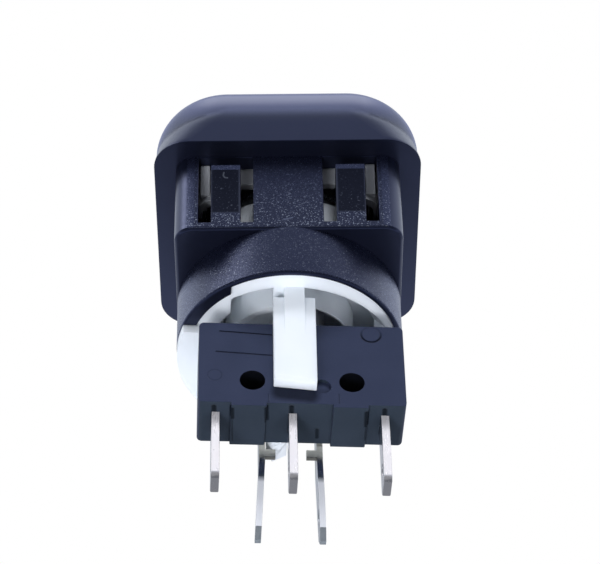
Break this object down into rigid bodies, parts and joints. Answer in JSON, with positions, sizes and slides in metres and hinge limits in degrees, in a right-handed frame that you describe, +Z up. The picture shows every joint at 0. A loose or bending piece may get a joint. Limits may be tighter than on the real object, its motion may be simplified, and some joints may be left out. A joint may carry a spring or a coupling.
{
  "type": "illuminated push button",
  "caption": "Square panel-mounted illuminated push button with a latching black housing, a lamp holder and a clipped-on micro switch.",
  "frame": {"origin": "on the button's axis, in the plane of the bezel's rear rim, where the panel's front surface lies", "axes": "+Y along the axis into the panel, towards the terminals; -Y towards the user; +Z up, through the upper latch windows; +X to the right seen by the user"},
  "size_m": [0.0272, 0.0495, 0.0272],
  "materials": {
    "black_housing": "moulded, satin",
    "milky_carrier": "translucent white",
    "milky_diffuser": "translucent white",
    "clear_white_lens": "glossy translucent white",
    "spring_steel": "drawn wire",
    "white_holder": "moulded, satin",
    "lamp_glass": "clear",
    "filament_wire": "fine wire",
    "lamp_brass": "plain",
    "tinned_terminal": "tin plated",
    "slate_case": "moulded, satin",
    "slate_cover": "moulded, satin",
    "plunger_plastic": "moulded",
    "switch_terminal": "tin plated",
    "silver_contact": "silver",
    "copper_blade": "spring copper alloy"
  },
  "bodies": {
    "housing": {"housing": "black_housing", "lamp_holder": "white_holder", "lamp_glass": "lamp_glass", "lamp_filament": "filament_wire", "lamp_cap": "lamp_brass", "lamp_contact_left": "tinned_terminal", "lamp_contact_right": "tinned_terminal", "switch_case": "slate_case", "switch_cover": "slate_cover", "common_terminal": "switch_terminal", "open_terminal": "switch_terminal", "closed_terminal": "switch_terminal", "open_contact": "silver_contact", "closed_contact": "silver_contact", "return_spring": "spring_steel"},
    "button": {"lens_carrier": "milky_carrier", "diffuser": "milky_diffuser", "lens": "clear_white_lens"},
    "plunger": {"switch_plunger": "plunger_plastic"},
    "blade": {"switch_blade": "copper_blade", "moving_contact": "silver_contact"}
  },
  "joints": [
    {"name": "button_press", "type": "slide", "parent": "housing", "child": "button", "axis": [0, 1, 0], "range_m": [0, 0.002], "stiffness_N_per_m": 800, "springref_m": -0.0025, "deforming": ["return_spring"]},
    {"name": "plunger_slide", "type": "slide", "parent": "housing", "child": "plunger", "axis": [0, 1, 0], "range_m": [0, 0.0009]},
    {"name": "contact_swing", "type": "hinge", "parent": "housing", "child": "blade", "pos_m": [0.00663, 0.0222, 0.0044], "axis": [0.0523, 0, -0.9986], "range_deg": [0, 1.72]}
  ],
  "couplings": [
    {"joint": "plunger_slide", "follows": "button_press", "ratio": 0.45},
    {"joint": "contact_swing", "follows": "button_press", "rad_per_m": 15}
  ]
}
